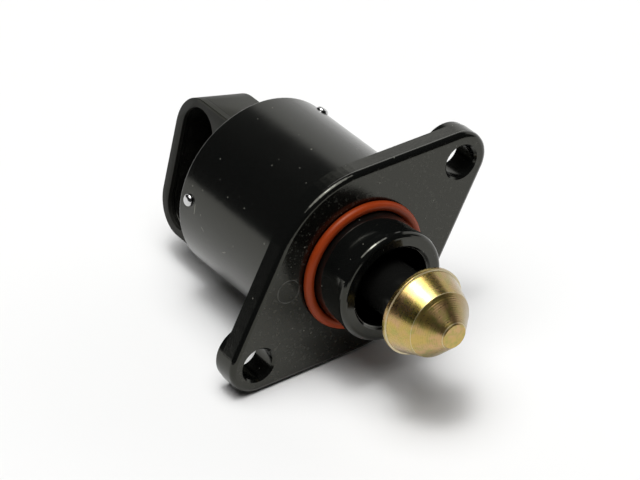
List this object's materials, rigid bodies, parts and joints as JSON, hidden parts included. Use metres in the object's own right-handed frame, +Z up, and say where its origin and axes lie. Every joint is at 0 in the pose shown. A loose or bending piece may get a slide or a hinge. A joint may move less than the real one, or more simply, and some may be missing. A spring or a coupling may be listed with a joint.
{
  "type": "idle_air_control_valve",
  "caption": "Stepper-driven idle air control valve with a black two-lug flange, an orange seal ring, a yellow-plated conical pintle and a moulded rear connector.",
  "frame": {"origin": "on the valve axis, in the plane of the mounting flange's front face, midway between the two bolt holes", "axes": "+X along the valve axis toward the pintle, +Z up as the valve rests on a flat edge of its flange, +Y to the side of the first bolt hole"},
  "size_m": [0.0741, 0.0542, 0.0368],
  "materials": {
    "housing_black": "glass-filled black plastic, semi-gloss on the can and finely textured on the flange",
    "cover_black": "satin black moulded plastic",
    "sleeve_black": "smooth black engineering plastic",
    "seal_orange": "soft orange silicone with a faint sheen",
    "pin_steel": "bright domed steel heads",
    "shaft_steel": "turned steel",
    "bearing_steel": "polished bearing steel",
    "stator_steel": "pressed soft iron sheet",
    "terminal_tin": "tin-plated copper alloy",
    "pintle_gold": "turned steel with a thin yellow zinc plating and fine turning rings",
    "nut_brass": "machined brass",
    "nylon_white": "natural nylon moulding",
    "magnet_grey": "sintered ferrite",
    "coil_copper": "enamelled copper winding"
  },
  "bodies": {
    "body": {"front_housing": "housing_black", "o_ring": "seal_orange", "rear_cover": "cover_black", "cover_seal": "seal_orange", "retaining_pins": "pin_steel", "terminal_1": "terminal_tin", "terminal_2": "terminal_tin", "terminal_3": "terminal_tin", "terminal_4": "terminal_tin", "screw_guide": "sleeve_black", "bearing_outer_race": "bearing_steel", "bearing_balls": "bearing_steel", "bearing_cage": "nut_brass", "spring_washer": "shaft_steel", "rear_bush": "nut_brass", "front_stator_outer_cup": "stator_steel", "front_stator_inner_cup": "stator_steel", "front_bobbin": "nylon_white", "front_coil": "coil_copper", "rear_stator_outer_cup": "stator_steel", "rear_stator_inner_cup": "stator_steel", "rear_bobbin": "nylon_white", "rear_coil": "coil_copper"},
    "rotor": {"rotor_hub": "nylon_white", "rotor_magnet": "magnet_grey", "drive_nut": "nut_brass", "bearing_inner_race": "bearing_steel"},
    "plunger": {"pintle": "pintle_gold", "plunger_sleeve": "sleeve_black", "lead_screw": "shaft_steel"}
  },
  "joints": [
    {"name": "rotor_spin", "type": "hinge", "parent": "body", "child": "rotor", "pos_m": [-0.02, 0, 0], "axis": [1, 0, 0], "range_deg": [-2706, 906]},
    {"name": "plunger_slide", "type": "slide", "parent": "body", "child": "plunger", "axis": [1, 0, 0], "range_m": [-0.0075, 0.0025]}
  ],
  "couplings": [
    {"joint": "rotor_spin", "follows": "plunger_slide", "rad_per_m": 6283.2}
  ]
}
